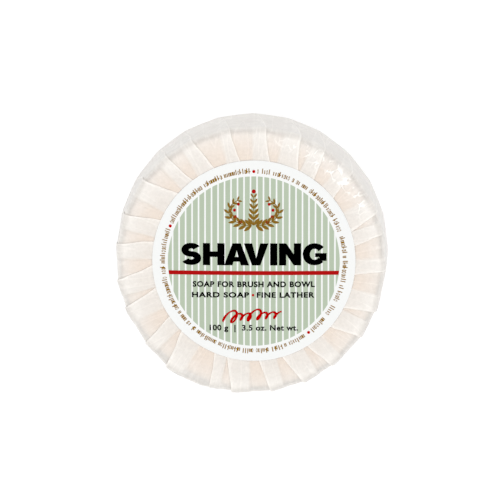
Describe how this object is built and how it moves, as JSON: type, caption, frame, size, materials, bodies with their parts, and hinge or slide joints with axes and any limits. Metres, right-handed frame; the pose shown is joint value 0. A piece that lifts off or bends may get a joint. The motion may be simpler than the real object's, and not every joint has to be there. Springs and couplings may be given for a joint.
{
  "type": "shaving soap puck",
  "caption": "Round puck of pressed shaving soap in a pleated translucent film wrapper, closed by a round paper label on the front and one on the back.",
  "frame": {"origin": "centre of the outer face of the back label, on which the puck lies", "axes": "+Z out of the front label, +Y towards the top of the front label's printing, +X to its right"},
  "size_m": [0.072, 0.072, 0.0268],
  "materials": {
    "soap": "smooth pressed hard soap, cream coloured, slightly waxy",
    "wrap_film": "thin frosted white film, translucent, crisp at its folds",
    "label_paper": "coated label paper, satin, printed",
    "label_adhesive": "clear label adhesive",
    "ink": "black printing ink"
  },
  "bodies": {
    "root": {"soap_puck": "soap", "pleated_wrap": "wrap_film", "front_label": "label_paper", "front_label_adhesive": "label_adhesive", "back_label": "label_paper", "back_label_adhesive": "label_adhesive"}
  },
  "joints": []
}
